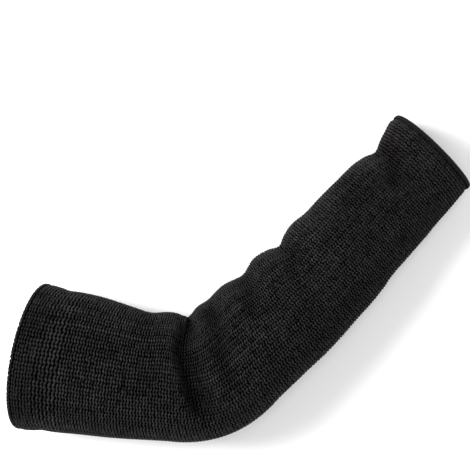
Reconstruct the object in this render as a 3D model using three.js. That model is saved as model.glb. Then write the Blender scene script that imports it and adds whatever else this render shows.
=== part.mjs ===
// A knitted protective sleeve, worn from the upper arm to the wrist, bent at the elbow and lying on its side.
// One hollow tube of knit, a turned welt at the upper arm and an overlocked edge at the wrist.
// Millimetres, +Z up, the forearm along +X. The underside is flattened where the cloth rests.
import * as THREE from "three";

// Lengths along the middle line of the tube
const UPPER_ARM_LENGTH = 121;
const FOREARM_LENGTH = 257;
const ELBOW_BEND = THREE.MathUtils.degToRad(54.2);

// Widths and heights of the filled tube, as it lies
const HEM_WIDTH = 131;
const ELBOW_WIDTH = 110.5;
const WRIST_WIDTH = 90;
const HEM_HEIGHT = 84;
const ELBOW_HEIGHT = 84;
const WRIST_HEIGHT = 52;

// Each open end leans: its top stands further out than its underside, and one side further than the other
const HEM_LEAN = 20;
const HEM_SLANT = -2;
const HEM_LEAN_RUN = 95;
const WRIST_LEAN = 3;
const WRIST_SLANT = 0.5;
const WRIST_LEAN_RUN = 45;

// Cloth, welt and edging
const CLOTH_THICKNESS = 2;
const WELT_WIDTH = 18;
const WELT_THICKNESS = 3.4;
const WELT_CROWN = 0.5;
const OVERLOCK_WIDTH = 4.6;
const OVERLOCK_NOSE = 1.6;
const OVERLOCK_THREAD = 1;
const SEAM_GAP = 0.3;

// Where the section leaves the surface it rests on, as a share of its height, and how softly
const SECTION_DROP = 0.44;
const REST_SOFTNESS = 6;

// The bend turns about the notch at the inner elbow, so that the inner side is gathered there
const BEND_RADIUS = ELBOW_WIDTH / 2;
const BEND_LENGTH = BEND_RADIUS * ELBOW_BEND;
const BEND_START = 1.5 * Math.PI - ELBOW_BEND;

// Fineness of the faceted solids
const POINTS_AROUND = 40;
const UPPER_ARM_ROWS = 9;
const NEAR_ELBOW_ROWS = 5;
const NEAR_ELBOW_SHARE = 0.2;
const ELBOW_ROWS = 15;
const FOREARM_ROWS = 31;
const SECTION_SAMPLES = 240;
const SMALL_STEP = 0.4;

// A place along the tube is -1 at the hem, 0 where the bend starts, 1 where it ends and 2 at the wrist.
// inner and outer are shares of half the width there, height is a share of the height there.
const SECTIONS = [
  { place: -1.0, inner: 0.998, outer: 1.0, height: 1.0 },
  { place: -0.93, inner: 0.98, outer: 1.0, height: 1.01 },
  { place: -0.79, inner: 0.981, outer: 1.01, height: 1.03 },
  { place: -0.6, inner: 0.981, outer: 1.014, height: 1.045 },
  { place: -0.4, inner: 0.941, outer: 1.032, height: 1.035 },
  { place: -0.25, inner: 0.934, outer: 1.035, height: 1.02 },
  { place: -0.1, inner: 0.99, outer: 1.032, height: 1.03 },
  { place: 0.0, inner: 0.975, outer: 1.035, height: 1.01 },
  { place: 0.5, inner: 0.97, outer: 1.03, height: 0.98 },
  { place: 1.0, inner: 0.975, outer: 0.99, height: 0.99 },
  { place: 1.045, inner: 0.99, outer: 1.0, height: 1.0 },
  { place: 1.09, inner: 0.955, outer: 1.02, height: 1.01 },
  { place: 1.155, inner: 0.95, outer: 1.045, height: 1.02 },
  { place: 1.233, inner: 0.865, outer: 1.085, height: 1.02 },
  { place: 1.304, inner: 0.91, outer: 1.1, height: 1.035 },
  { place: 1.393, inner: 0.812, outer: 1.1, height: 1.035 },
  { place: 1.471, inner: 0.88, outer: 1.105, height: 1.06 },
  { place: 1.537, inner: 0.855, outer: 1.09, height: 1.065 },
  { place: 1.585, inner: 0.868, outer: 1.06, height: 1.06 },
  { place: 1.68, inner: 0.89, outer: 1.06, height: 1.05 },
  { place: 1.77, inner: 0.882, outer: 1.06, height: 1.05 },
  { place: 1.825, inner: 0.84, outer: 1.05, height: 1.02 },
  { place: 1.872, inner: 0.83, outer: 1.055, height: 0.985 },
  { place: 1.918, inner: 0.89, outer: 1.05, height: 1.0 },
  { place: 1.965, inner: 0.975, outer: 1.045, height: 1.02 },
  { place: 2.0, inner: 0.965, outer: 1.06, height: 1.0 },
];

// Folds run from the inner side towards the outer side. Each point of a path is a place along the tube and a
// share across it, 1 at the inner edge and -1 at the outer one. Depths are shares of the elbow's height, and
// reaches, towards the arm and towards the wrist, are shares of the elbow's width. A raised fold has no depth
// but a negative one.
const FOLDS = [
  {
    name: "elbow crease",
    startDepth: 0.075,
    endDepth: 0.1,
    armReach: 0.03,
    wristReach: 0.085,
    path: [
      { place: 0.02, across: 0.82 },
      { place: -0.014, across: 0.55 },
      { place: 0.15, across: 0.12 },
      { place: 0.26, across: -0.27 },
      { place: 0.29, across: -0.43 },
    ],
  },
  {
    name: "roll above the crease",
    startDepth: -0.015,
    endDepth: -0.02,
    armReach: 0.075,
    wristReach: 0.04,
    path: [
      { place: -0.07, across: 0.8 },
      { place: -0.08, across: 0.45 },
      { place: -0.01, across: 0.1 },
      { place: 0.11, across: -0.4 },
    ],
  },
  {
    name: "hollow of the upper arm",
    startDepth: 0.02,
    endDepth: 0.012,
    armReach: 0.1,
    wristReach: 0.07,
    path: [
      { place: -0.26, across: 0.9 },
      { place: -0.24, across: 0.3 },
      { place: -0.16, across: -0.2 },
    ],
  },
  {
    name: "inner elbow valley",
    startDepth: 0.055,
    endDepth: 0.03,
    armReach: 0.065,
    wristReach: 0.075,
    path: [
      { place: 1.062, across: 0.78 },
      { place: 1.022, across: 0.46 },
      { place: 0.88, across: 0.05 },
      { place: 0.8, across: -0.3 },
    ],
  },
  {
    name: "short valley past the elbow",
    startDepth: 0.04,
    endDepth: 0.03,
    armReach: 0.06,
    wristReach: 0.07,
    path: [
      { place: 1.22, across: 0.85 },
      { place: 1.17, across: 0.42 },
    ],
  },
  {
    name: "forearm nick",
    startDepth: 0.045,
    endDepth: 0.03,
    armReach: 0.04,
    wristReach: 0.05,
    path: [
      { place: 1.386, across: 0.95 },
      { place: 1.398, across: 0.68 },
      { place: 1.345, across: 0.33 },
    ],
  },
  {
    name: "forearm dent",
    startDepth: 0.03,
    endDepth: 0.03,
    armReach: 0.11,
    wristReach: 0.11,
    path: [
      { place: 1.69, across: 0.66 },
      { place: 1.665, across: 0.5 },
    ],
  },
  {
    name: "wrist dent",
    startDepth: 0.055,
    endDepth: 0.045,
    armReach: 0.055,
    wristReach: 0.07,
    path: [
      { place: 1.853, across: 0.9 },
      { place: 1.873, across: 0.63 },
      { place: 1.807, across: 0.18 },
    ],
  },
];

// Share of the section's height over which folds fade out, so that none cuts into the resting underside
const FOLD_FADE_LOW = 0.08;
const FOLD_FADE_HIGH = 0.4;

const TAU = 2 * Math.PI;
const clamp = THREE.MathUtils.clamp;
const lerp = THREE.MathUtils.lerp;
const smoothstep = THREE.MathUtils.smoothstep;

// Millimetres along the middle line from the hem, for a place, and back
function lengthAt(place) {
  return (
    clamp(place + 1, 0, 1) * UPPER_ARM_LENGTH +
    clamp(place, 0, 1) * BEND_LENGTH +
    clamp(place - 1, 0, 1) * FOREARM_LENGTH
  );
}

function placeAt(length) {
  const pastHem = length / UPPER_ARM_LENGTH;
  if (pastHem < 1) return pastHem - 1;
  const intoBend = (length - UPPER_ARM_LENGTH) / BEND_LENGTH;
  if (intoBend < 1) return intoBend;
  return 1 + (length - UPPER_ARM_LENGTH - BEND_LENGTH) / FOREARM_LENGTH;
}

// The middle line in plan: a straight upper arm, an arc about the notch, a straight forearm
function middleLine(length) {
  const intoBend = clamp((length - UPPER_ARM_LENGTH) / BEND_LENGTH, 0, 1);
  const angle = BEND_START + ELBOW_BEND * intoBend;
  const ahead = new THREE.Vector3(-Math.sin(angle), Math.cos(angle), 0);
  const inward = new THREE.Vector3(-Math.cos(angle), -Math.sin(angle), 0);
  const straight = length - UPPER_ARM_LENGTH - BEND_LENGTH * intoBend;
  const point = inward.clone().multiplyScalar(-BEND_RADIUS);
  point.addScaledVector(ahead, straight);
  return { point, ahead, inward };
}

// A column of the section table at a place, on a smooth curve through its rows
function sectionShare(place, column) {
  const last = SECTIONS.length - 1;
  const at = clamp(place, SECTIONS[0].place, SECTIONS[last].place);
  let row = 0;
  while (row < last - 1 && SECTIONS[row + 1].place <= at) row += 1;
  const slope = (k) => {
    const low = SECTIONS[Math.max(k - 1, 0)];
    const high = SECTIONS[Math.min(k + 1, last)];
    return (high[column] - low[column]) / (high.place - low.place);
  };
  const a = SECTIONS[row];
  const b = SECTIONS[row + 1];
  const run = b.place - a.place;
  const t = (at - a.place) / run;
  const rise = b[column] - a[column];
  const startBend = slope(row) * run - rise;
  const endBend = rise - slope(row + 1) * run;
  return a[column] + rise * t + t * (1 - t) * (startBend * (1 - t) + endBend * t);
}

// Half widths towards and away from the inner elbow, and the height, at a place
function sectionSizes(place) {
  const upper = clamp(-place, 0, 1);
  const fore = clamp(place - 1, 0, 1);
  const width = lerp(lerp(ELBOW_WIDTH, HEM_WIDTH, upper), WRIST_WIDTH, fore);
  const height = lerp(lerp(ELBOW_HEIGHT, HEM_HEIGHT, upper), WRIST_HEIGHT, fore);
  return {
    inner: (sectionShare(place, "inner") * width) / 2,
    outer: (sectionShare(place, "outer") * width) / 2,
    height: sectionShare(place, "height") * height,
  };
}

// A height held above the resting surface, with a soft turn where the two meet
function restOnSurface(z) {
  if (z <= -REST_SOFTNESS) return 0;
  if (z >= REST_SOFTNESS) return z;
  return (z + REST_SOFTNESS) ** 2 / (4 * REST_SOFTNESS);
}

// An oval section whose underside is flattened, as evenly spaced points from the inner side over the top
function sectionPoints(place) {
  const { inner, outer, height } = sectionSizes(place);
  const rise = height * (1 - SECTION_DROP);
  const samples = [];
  const travelled = [0];
  for (let i = 0; i <= SECTION_SAMPLES; i += 1) {
    const angle = (i / SECTION_SAMPLES) * TAU;
    const reach = Math.cos(angle) > 0 ? inner : outer;
    const across = reach * Math.cos(angle);
    const up = restOnSurface(height * SECTION_DROP + rise * Math.sin(angle));
    samples.push({ across, up });
    if (i > 0) {
      const before = samples[i - 1];
      travelled.push(travelled[i - 1] + Math.hypot(across - before.across, up - before.up));
    }
  }
  const points = [];
  let k = 0;
  for (let j = 0; j < POINTS_AROUND; j += 1) {
    const target = (j / POINTS_AROUND) * travelled[SECTION_SAMPLES];
    while (travelled[k + 1] < target) k += 1;
    const t = (target - travelled[k]) / (travelled[k + 1] - travelled[k]);
    points.push({
      across: lerp(samples[k].across, samples[k + 1].across, t),
      up: lerp(samples[k].up, samples[k + 1].up, t),
    });
  }
  return { points, inner, outer, height };
}

// The folds' paths in plan
const foldPaths = FOLDS.map((fold) => ({
  ...fold,
  corners: fold.path.map(({ place, across }) => {
    const { point, inward } = middleLine(lengthAt(place));
    const sizes = sectionSizes(place);
    const half = across > 0 ? sizes.inner : sizes.outer;
    return point.clone().addScaledVector(inward, across * half);
  }),
}));

// How deep the folds press the wall in at a point of the plan
function foldDepth(x, y) {
  let depth = 0;
  for (const fold of foldPaths) {
    let nearest = Infinity;
    let side = 1;
    let share = 0;
    const legs = fold.corners.length - 1;
    for (let leg = 0; leg < legs; leg += 1) {
      const a = fold.corners[leg];
      const b = fold.corners[leg + 1];
      const runX = b.x - a.x;
      const runY = b.y - a.y;
      const t = clamp(((x - a.x) * runX + (y - a.y) * runY) / (runX ** 2 + runY ** 2), 0, 1);
      const offX = x - a.x - t * runX;
      const offY = y - a.y - t * runY;
      const distance = Math.hypot(offX, offY);
      if (distance < nearest) {
        nearest = distance;
        side = Math.sign(runX * offY - runY * offX);
        share = (leg + t) / legs;
      }
    }
    const reach = (side < 0 ? fold.armReach : fold.wristReach) * ELBOW_WIDTH;
    const full = lerp(fold.startDepth, fold.endDepth, share) * ELBOW_HEIGHT;
    depth += full * Math.exp(-((nearest / reach) ** 2));
  }
  return depth;
}

// One closed row of points round the outer face of the cloth, folds and leaning ends included
function outerRow(length) {
  const place = placeAt(length);
  const { point, ahead, inward } = middleLine(length);
  const { points, inner, outer, height } = sectionPoints(place);
  const total = UPPER_ARM_LENGTH + BEND_LENGTH + FOREARM_LENGTH;
  const nearHem = 1 - smoothstep(length, 0, HEM_LEAN_RUN);
  const nearWrist = smoothstep(length, total - WRIST_LEAN_RUN, total);
  return points.map(({ across, up }, j) => {
    const before = points[(j + POINTS_AROUND - 1) % POINTS_AROUND];
    const after = points[(j + 1) % POINTS_AROUND];
    const around = new THREE.Vector2(after.across - before.across, after.up - before.up).normalize();
    const plan = point.clone().addScaledVector(inward, across);
    const clear = smoothstep(up, height * FOLD_FADE_LOW, height * FOLD_FADE_HIGH);
    const depth = clear * foldDepth(plan.x, plan.y);
    const moved = plan.addScaledVector(inward, -around.y * depth);
    moved.z = up + around.x * depth;
    const tilt = up / height;
    const sideways = across > 0 ? across / inner : across / outer;
    const out = nearWrist * (WRIST_LEAN * tilt + WRIST_SLANT * sideways);
    const back = nearHem * (HEM_LEAN * tilt + HEM_SLANT * sideways);
    return moved.addScaledVector(ahead, out - back);
  });
}

// A row at a height over the outer face, along the face's normal, kept above the resting surface
function rowOver(length, over) {
  const row = outerRow(length);
  if (over === 0) return row;
  const behind = outerRow(length - SMALL_STEP);
  const beyond = outerRow(length + SMALL_STEP);
  return row.map((at, j) => {
    const around = row[(j + 1) % POINTS_AROUND].clone().sub(row[(j + POINTS_AROUND - 1) % POINTS_AROUND]);
    const along = beyond[j].clone().sub(behind[j]);
    const moved = at.clone().addScaledVector(around.cross(along).normalize(), over);
    moved.z = Math.max(moved.z, 0);
    return moved;
  });
}

// A closed ring solid: rows of points round the tube, each joined to the next and the last to the first
function ringSolid(rows) {
  const positions = rows.flat().flatMap((p) => [p.x, p.y, p.z]);
  const faces = [];
  for (let i = 0; i < rows.length; i += 1) {
    const next = (i + 1) % rows.length;
    for (let j = 0; j < POINTS_AROUND; j += 1) {
      const step = (j + 1) % POINTS_AROUND;
      const a = i * POINTS_AROUND + j;
      const b = i * POINTS_AROUND + step;
      const c = next * POINTS_AROUND + step;
      const d = next * POINTS_AROUND + j;
      faces.push(a, b, c, a, c, d);
    }
  }
  const geometry = new THREE.BufferGeometry();
  geometry.setAttribute("position", new THREE.Float32BufferAttribute(positions, 3));
  geometry.setIndex(faces);
  geometry.computeVertexNormals();
  return geometry;
}

// Evenly spaced lengths from one to another, the last left out
function spaced(from, to, count) {
  return Array.from({ length: count }, (unused, i) => lerp(from, to, i / count));
}

const wholeLength = UPPER_ARM_LENGTH + BEND_LENGTH + FOREARM_LENGTH;
const clothStart = WELT_WIDTH + SEAM_GAP;
const clothEnd = wholeLength - OVERLOCK_NOSE - SEAM_GAP;
const edgingStart = wholeLength - OVERLOCK_WIDTH;

// How far the edging's thread draws the cloth in, near the wrist's edge
function drawnIn(length) {
  const before = edgingStart - OVERLOCK_WIDTH;
  return smoothstep(length, before, edgingStart) * (OVERLOCK_THREAD + SEAM_GAP);
}

// The knitted tube: an outer face from the hem to the wrist and an inner face back
function knitTube() {
  const bendEnd = UPPER_ARM_LENGTH + BEND_LENGTH;
  const nearElbow = UPPER_ARM_LENGTH * (1 - NEAR_ELBOW_SHARE);
  const lengths = [
    ...spaced(clothStart, nearElbow, UPPER_ARM_ROWS),
    ...spaced(nearElbow, UPPER_ARM_LENGTH, NEAR_ELBOW_ROWS),
    ...spaced(UPPER_ARM_LENGTH, bendEnd, ELBOW_ROWS),
    ...spaced(bendEnd, edgingStart, FOREARM_ROWS),
    edgingStart,
    clothEnd,
  ];
  const outside = lengths.map((length) => rowOver(length, -drawnIn(length)));
  const inside = lengths.map((length) => rowOver(length, -drawnIn(length) - CLOTH_THICKNESS));
  return ringSolid([...outside, ...inside.reverse()]);
}

// The turned welt: a flat band with a crowned face and a rolled rim, butted against the tube
function upperArmWelt() {
  const roll = WELT_THICKNESS / 2;
  const outline = [
    { from: 0, over: -roll },
    { from: roll * 0.3, over: -roll * 0.3 },
    { from: roll, over: 0 },
    { from: WELT_WIDTH / 2, over: WELT_CROWN },
    { from: WELT_WIDTH, over: 0 },
    { from: WELT_WIDTH, over: -WELT_THICKNESS },
    { from: WELT_WIDTH / 2, over: -WELT_THICKNESS },
    { from: roll, over: -WELT_THICKNESS },
    { from: roll * 0.3, over: -roll * 1.7 },
  ];
  return ringSolid(outline.map(({ from, over }) => rowOver(from, over)));
}

// The overlocked edging: thread wrapped over, round and under the wrist's edge
function wristOverlock() {
  const under = 2 * OVERLOCK_THREAD + 2 * SEAM_GAP + CLOTH_THICKNESS;
  const outline = [
    { from: edgingStart, over: 0 },
    { from: wholeLength - OVERLOCK_NOSE, over: 0 },
    { from: wholeLength, over: -under * 0.3 },
    { from: wholeLength, over: -under * 0.7 },
    { from: wholeLength - OVERLOCK_NOSE, over: -under },
    { from: edgingStart, over: -under },
    { from: edgingStart, over: OVERLOCK_THREAD - under },
    { from: wholeLength - OVERLOCK_NOSE, over: OVERLOCK_THREAD - under },
    { from: wholeLength - OVERLOCK_NOSE, over: -OVERLOCK_THREAD },
    { from: edgingStart, over: -OVERLOCK_THREAD },
  ];
  return ringSolid(outline.map(({ from, over }) => rowOver(from, over)));
}

function piece(name, geometry, color, roughness) {
  const material = new THREE.MeshStandardMaterial({ color, roughness, metalness: 0 });
  const mesh = new THREE.Mesh(geometry, material);
  mesh.name = name;
  return mesh;
}

const sleeve = new THREE.Group();
sleeve.add(piece("knit_tube", knitTube(), "#1d1c1d", 0.85));
sleeve.add(piece("upper_arm_welt", upperArmWelt(), "#1b1a1b", 0.85));
sleeve.add(piece("wrist_overlock", wristOverlock(), "#161516", 0.8));

// The origin is the middle of the underside
const box = new THREE.Box3().setFromObject(sleeve);
const middle = box.getCenter(new THREE.Vector3());
sleeve.children.forEach((mesh) => mesh.position.set(-middle.x, -middle.y, -box.min.z));

export default sleeve;
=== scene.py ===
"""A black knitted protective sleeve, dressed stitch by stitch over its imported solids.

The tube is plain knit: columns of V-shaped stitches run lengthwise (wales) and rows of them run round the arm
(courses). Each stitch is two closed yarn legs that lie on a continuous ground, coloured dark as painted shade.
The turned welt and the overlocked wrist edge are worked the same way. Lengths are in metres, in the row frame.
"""

import math

import bpy
import numpy as np
from bpy.props import FloatProperty, FloatVectorProperty, IntProperty, PointerProperty
from bpy.types import Operator, Panel, PropertyGroup
from mathutils import Matrix, Vector


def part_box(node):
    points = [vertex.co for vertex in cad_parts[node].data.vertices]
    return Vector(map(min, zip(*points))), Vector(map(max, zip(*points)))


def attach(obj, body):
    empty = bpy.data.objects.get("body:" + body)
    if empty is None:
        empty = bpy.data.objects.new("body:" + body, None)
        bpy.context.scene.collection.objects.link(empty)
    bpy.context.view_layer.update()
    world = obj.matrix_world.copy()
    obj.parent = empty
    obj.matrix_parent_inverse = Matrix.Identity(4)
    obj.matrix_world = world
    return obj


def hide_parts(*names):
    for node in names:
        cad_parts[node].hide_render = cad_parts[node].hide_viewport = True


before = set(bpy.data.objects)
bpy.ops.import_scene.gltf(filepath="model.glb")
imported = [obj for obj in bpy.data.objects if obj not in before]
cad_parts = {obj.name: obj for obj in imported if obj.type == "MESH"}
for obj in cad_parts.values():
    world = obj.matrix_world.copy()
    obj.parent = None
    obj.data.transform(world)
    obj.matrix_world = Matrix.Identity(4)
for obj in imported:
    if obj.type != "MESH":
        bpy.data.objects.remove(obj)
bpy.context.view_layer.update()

bl_info = {
    "name": "Knitted protective sleeve",
    "version": (1, 0, 0),
    "blender": (4, 5, 0),
    "location": "3D View > Sidebar > Sleeve",
    "description": "Knits a bent protective sleeve over its solids, with its welt and overlocked edge",
    "category": "Object",
}

# Lengths along the middle line of the tube
UPPER_ARM_LENGTH = 0.121
FOREARM_LENGTH = 0.257
ELBOW_BEND = math.radians(54.2)

# Widths and heights of the filled tube, as it lies
HEM_WIDTH, ELBOW_WIDTH, WRIST_WIDTH = 0.131, 0.1105, 0.090
HEM_HEIGHT, ELBOW_HEIGHT, WRIST_HEIGHT = 0.084, 0.084, 0.052

# Each open end leans: its top stands further out than its underside, and one side further than the other
HEM_LEAN, HEM_SLANT, HEM_LEAN_RUN = 0.020, -0.002, 0.095
WRIST_LEAN, WRIST_SLANT, WRIST_LEAN_RUN = 0.003, 0.0005, 0.045

CLOTH_THICKNESS = 0.002
WELT_WIDTH = 0.018
WELT_THICKNESS = 0.0034
WELT_CROWN = 0.0005
OVERLOCK_WIDTH = 0.0046
OVERLOCK_NOSE = 0.0016
OVERLOCK_THREAD = 0.001
SEAM_GAP = 0.0003
WELT_GROOVE, WELT_GROOVE_REACH = 0.0008, 0.006

# The oval section's middle lies at this share of its height, so low that its underside is flattened where it
# rests, and how softly the flat joins the curve
SECTION_DROP = 0.44
REST_SOFTNESS = 0.006

# The bend turns about the notch of the inner elbow
BEND_RADIUS = ELBOW_WIDTH / 2
BEND_LENGTH = BEND_RADIUS * ELBOW_BEND
BEND_START = 1.5 * math.pi - ELBOW_BEND
WHOLE_LENGTH = UPPER_ARM_LENGTH + BEND_LENGTH + FOREARM_LENGTH
CLOTH_START = WELT_WIDTH + SEAM_GAP
CLOTH_END = WHOLE_LENGTH - OVERLOCK_NOSE - SEAM_GAP
EDGING_START = WHOLE_LENGTH - OVERLOCK_WIDTH

# The knit starts over the seam with the welt, in a soft groove
KNIT_START = CLOTH_START - 0.0008
GROOVE_MIDDLE = CLOTH_START + 0.003

# A place along the tube is -1 at the hem, 0 where the bend starts, 1 where it ends and 2 at the wrist.
# inner and outer are shares of half the width there, height is a share of the height there.
SECTION_COLUMNS = ("place", "inner", "outer", "height")
SECTIONS = np.array(
    [
        (-1.0, 0.998, 1.0, 1.0),
        (-0.93, 0.98, 1.0, 1.01),
        (-0.79, 0.981, 1.01, 1.03),
        (-0.6, 0.981, 1.014, 1.045),
        (-0.4, 0.941, 1.032, 1.035),
        (-0.25, 0.934, 1.035, 1.02),
        (-0.1, 0.99, 1.032, 1.03),
        (0.0, 0.975, 1.035, 1.01),
        (0.5, 0.97, 1.03, 0.98),
        (1.0, 0.975, 0.99, 0.99),
        (1.045, 0.99, 1.0, 1.0),
        (1.09, 0.955, 1.02, 1.01),
        (1.155, 0.95, 1.045, 1.02),
        (1.233, 0.865, 1.085, 1.02),
        (1.304, 0.91, 1.1, 1.035),
        (1.393, 0.812, 1.1, 1.035),
        (1.471, 0.88, 1.105, 1.06),
        (1.537, 0.855, 1.09, 1.065),
        (1.585, 0.868, 1.06, 1.06),
        (1.68, 0.89, 1.06, 1.05),
        (1.77, 0.882, 1.06, 1.05),
        (1.825, 0.84, 1.05, 1.02),
        (1.872, 0.83, 1.055, 0.985),
        (1.918, 0.89, 1.05, 1.0),
        (1.965, 0.975, 1.045, 1.02),
        (2.0, 0.965, 1.06, 1.0),
    ]
)

# Folds run from the inner side towards the outer side. Each has a name, its depths at both ends as shares of the
# elbow's height, its reaches towards the arm and the wrist as shares of the elbow's width, and its path, whose
# points are a place along the tube and a share across it.
FOLDS = [
    (
        "elbow crease",
        (0.075, 0.1),
        (0.03, 0.085),
        [(0.02, 0.82), (-0.014, 0.55), (0.15, 0.12), (0.26, -0.27), (0.29, -0.43)],
    ),
    (
        "roll above the crease",
        (-0.015, -0.02),
        (0.075, 0.04),
        [(-0.07, 0.8), (-0.08, 0.45), (-0.01, 0.1), (0.11, -0.4)],
    ),
    ("hollow of the upper arm", (0.02, 0.012), (0.1, 0.07), [(-0.26, 0.9), (-0.24, 0.3), (-0.16, -0.2)]),
    ("inner elbow valley", (0.055, 0.03), (0.065, 0.075), [(1.062, 0.78), (1.022, 0.46), (0.88, 0.05), (0.8, -0.3)]),
    ("short valley past the elbow", (0.04, 0.03), (0.06, 0.07), [(1.22, 0.85), (1.17, 0.42)]),
    ("forearm nick", (0.045, 0.03), (0.04, 0.05), [(1.386, 0.95), (1.398, 0.68), (1.345, 0.33)]),
    ("forearm dent", (0.03, 0.03), (0.11, 0.11), [(1.69, 0.66), (1.665, 0.5)]),
    ("wrist dent", (0.055, 0.045), (0.055, 0.07), [(1.853, 0.9), (1.873, 0.63), (1.807, 0.18)]),
]
FOLD_FADE_LOW, FOLD_FADE_HIGH = 0.08, 0.4

# Outlines of the welt and of the wrist's binding, as (length, height over the skin). The welt's runs from the
# inside of the tube round the rim to the outside, and the wrist's from the outside round the edge to the inside.
WELT_OUTLINE = [
    (WELT_WIDTH, -WELT_THICKNESS),
    (WELT_THICKNESS / 2, -WELT_THICKNESS),
    (WELT_THICKNESS * 0.15, -WELT_THICKNESS * 0.85),
    (0.0, -WELT_THICKNESS / 2),
    (WELT_THICKNESS * 0.15, -WELT_THICKNESS * 0.15),
    (WELT_THICKNESS / 2, 0.0),
    (WELT_WIDTH * 0.22, -WELT_CROWN),
    (WELT_WIDTH * 0.35, WELT_CROWN * 0.7),
    (WELT_WIDTH / 2, WELT_CROWN),
    (WELT_WIDTH * 0.8, WELT_CROWN * 0.3),
    (WELT_WIDTH, -WELT_CROWN),
]
OVERLOCK_THICKNESS = CLOTH_THICKNESS + 2 * (OVERLOCK_THREAD + SEAM_GAP)
OVERLOCK_OUTLINE = [
    (EDGING_START, 0.0),
    (WHOLE_LENGTH - 0.0012, 0.0),
    (WHOLE_LENGTH - 0.0004, -OVERLOCK_THICKNESS * 0.13),
    (WHOLE_LENGTH, -OVERLOCK_THICKNESS * 0.4),
    (WHOLE_LENGTH, -OVERLOCK_THICKNESS * 0.6),
    (WHOLE_LENGTH - 0.0004, -OVERLOCK_THICKNESS * 0.87),
    (WHOLE_LENGTH - 0.0012, -OVERLOCK_THICKNESS),
    (EDGING_START, -OVERLOCK_THICKNESS),
]
OVERLOCK_LINING = [
    (EDGING_START, -OVERLOCK_THREAD),
    (WHOLE_LENGTH - OVERLOCK_NOSE, -OVERLOCK_THREAD),
    (WHOLE_LENGTH - OVERLOCK_NOSE, -OVERLOCK_THICKNESS + OVERLOCK_THREAD),
    (EDGING_START, -OVERLOCK_THICKNESS + OVERLOCK_THREAD),
]

# How far the ground reaches into the welt, in courses, and how far its purl ridges stand in and out inside
TUCKED_COURSES = -0.6
PURL_RIDGE = 0.00025

# Rows of points along the outlines of the welt, the binding and its lining
WELT_ROWS, BINDING_ROWS, LINING_ROWS = 96, 24, 12

# How many wraps a wrap moves round the edge from one face to the other, its places along the binding's outline
# and how far it strays, in wraps
OVERLOCK_SLANT = 1.6
WRAP_PLACES, WRAP_WOBBLE, WRAP_SEED = 11, 0.06, 21

# The paler thread zigzags about a row of the binding, once for every two wraps
RIM_ROW, RIM_ZIGZAG, RIM_PLACES_A_WRAP = 6.6, 0.9, 4

# How deep the band and both threads lie in the binding's outline, as shares of the thread's thickness, and the
# threads' half widths and half heights. A wrap's half width is a share of the distance between wraps.
BAND_SINK, WRAP_SINK, RIM_SINK = 0.5, 0.45, 0.28
WRAP_HALF_WIDTH, WRAP_HALF_HEIGHT = 0.47, 0.5
RIM_HALF_WIDTH, RIM_HALF_HEIGHT = 0.42, 0.3

# Fineness of the worked-out skin, and of the section's own curve
ROWS_A_METRE = 1700
COLUMNS_A_WALE = 8
GROUND_COLUMNS_A_WALE = 2
NORMAL_PASSES, FOLD_PASSES = 8, 60
SECTION_SAMPLES = 320

# Where the courses are shared out by the length of the cloth itself, so that the bend gathers them inside, and
# the wale, as a percentile of their lengths there, whose courses keep the plain pitch
EVEN_FROM_PLACE, EVEN_TO_PLACE = -0.7, 1.5
EVEN_PERCENTILE = 60
STRETCH_LIMITS, HALVINGS = (-0.96, 3.0), 40

TAU = 2 * math.pi


# The skin of the sleeve


def blend(a, b, t):
    return a + (b - a) * t


def smoothstep(x, low, high):
    t = np.clip((x - low) / (high - low), 0, 1)
    return t * t * (3 - 2 * t)


def on_floor(points):
    """The points, with none below the surface that the sleeve lies on."""
    return np.concatenate([points[..., :2], np.maximum(points[..., 2:], 0)], -1)


def unit(vectors):
    """The vectors, each made one long."""
    return vectors / np.maximum(np.linalg.norm(vectors, axis=-1, keepdims=True), 1e-12)


def change_round(grid):
    """The change round the tube, from the column before to the column after."""
    return np.roll(grid, -1, 1) - np.roll(grid, 1, 1)


def length_at(place):
    """The length along the middle line from the hem, for a place."""
    return (
        np.clip(place + 1, 0, 1) * UPPER_ARM_LENGTH
        + np.clip(place, 0, 1) * BEND_LENGTH
        + np.clip(place - 1, 0, 1) * FOREARM_LENGTH
    )


def place_at(length):
    """The place for a length along the middle line, which may pass either end."""
    before = length / UPPER_ARM_LENGTH - 1
    within = (length - UPPER_ARM_LENGTH) / BEND_LENGTH
    after = 1 + (length - UPPER_ARM_LENGTH - BEND_LENGTH) / FOREARM_LENGTH
    return np.where(before < 0, before, np.where(within < 1, within, after))


def middle_line(length):
    """The middle line in plan: a straight upper arm, an arc about the notch of the inner elbow, and a straight
    forearm. Gives its points, its direction and the direction towards the inner elbow."""
    into_bend = np.clip((length - UPPER_ARM_LENGTH) / BEND_LENGTH, 0, 1)
    angle = BEND_START + ELBOW_BEND * into_bend
    ahead = np.stack([-np.sin(angle), np.cos(angle)], -1)
    inward = np.stack([-np.cos(angle), -np.sin(angle)], -1)
    straight = length - UPPER_ARM_LENGTH - BEND_LENGTH * into_bend
    return inward * -BEND_RADIUS + ahead * straight[..., None], ahead, inward


def section_share(place, column):
    """A column of the section table at a place: a cubic between rows, each row's slope set by its neighbours."""
    at = SECTIONS[:, 0]
    value = SECTIONS[:, SECTION_COLUMNS.index(column)]
    low = np.maximum(np.arange(len(at)) - 1, 0)
    high = np.minimum(np.arange(len(at)) + 1, len(at) - 1)
    slope = (value[high] - value[low]) / (at[high] - at[low])
    place = np.clip(place, at[0], at[-1])
    k = np.clip(np.searchsorted(at, place, side="right") - 1, 0, len(at) - 2)
    run = at[k + 1] - at[k]
    rise = value[k + 1] - value[k]
    t = (place - at[k]) / run
    start, end = slope[k] * run - rise, rise - slope[k + 1] * run
    return value[k] + rise * t + t * (1 - t) * (start * (1 - t) + end * t)


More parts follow.
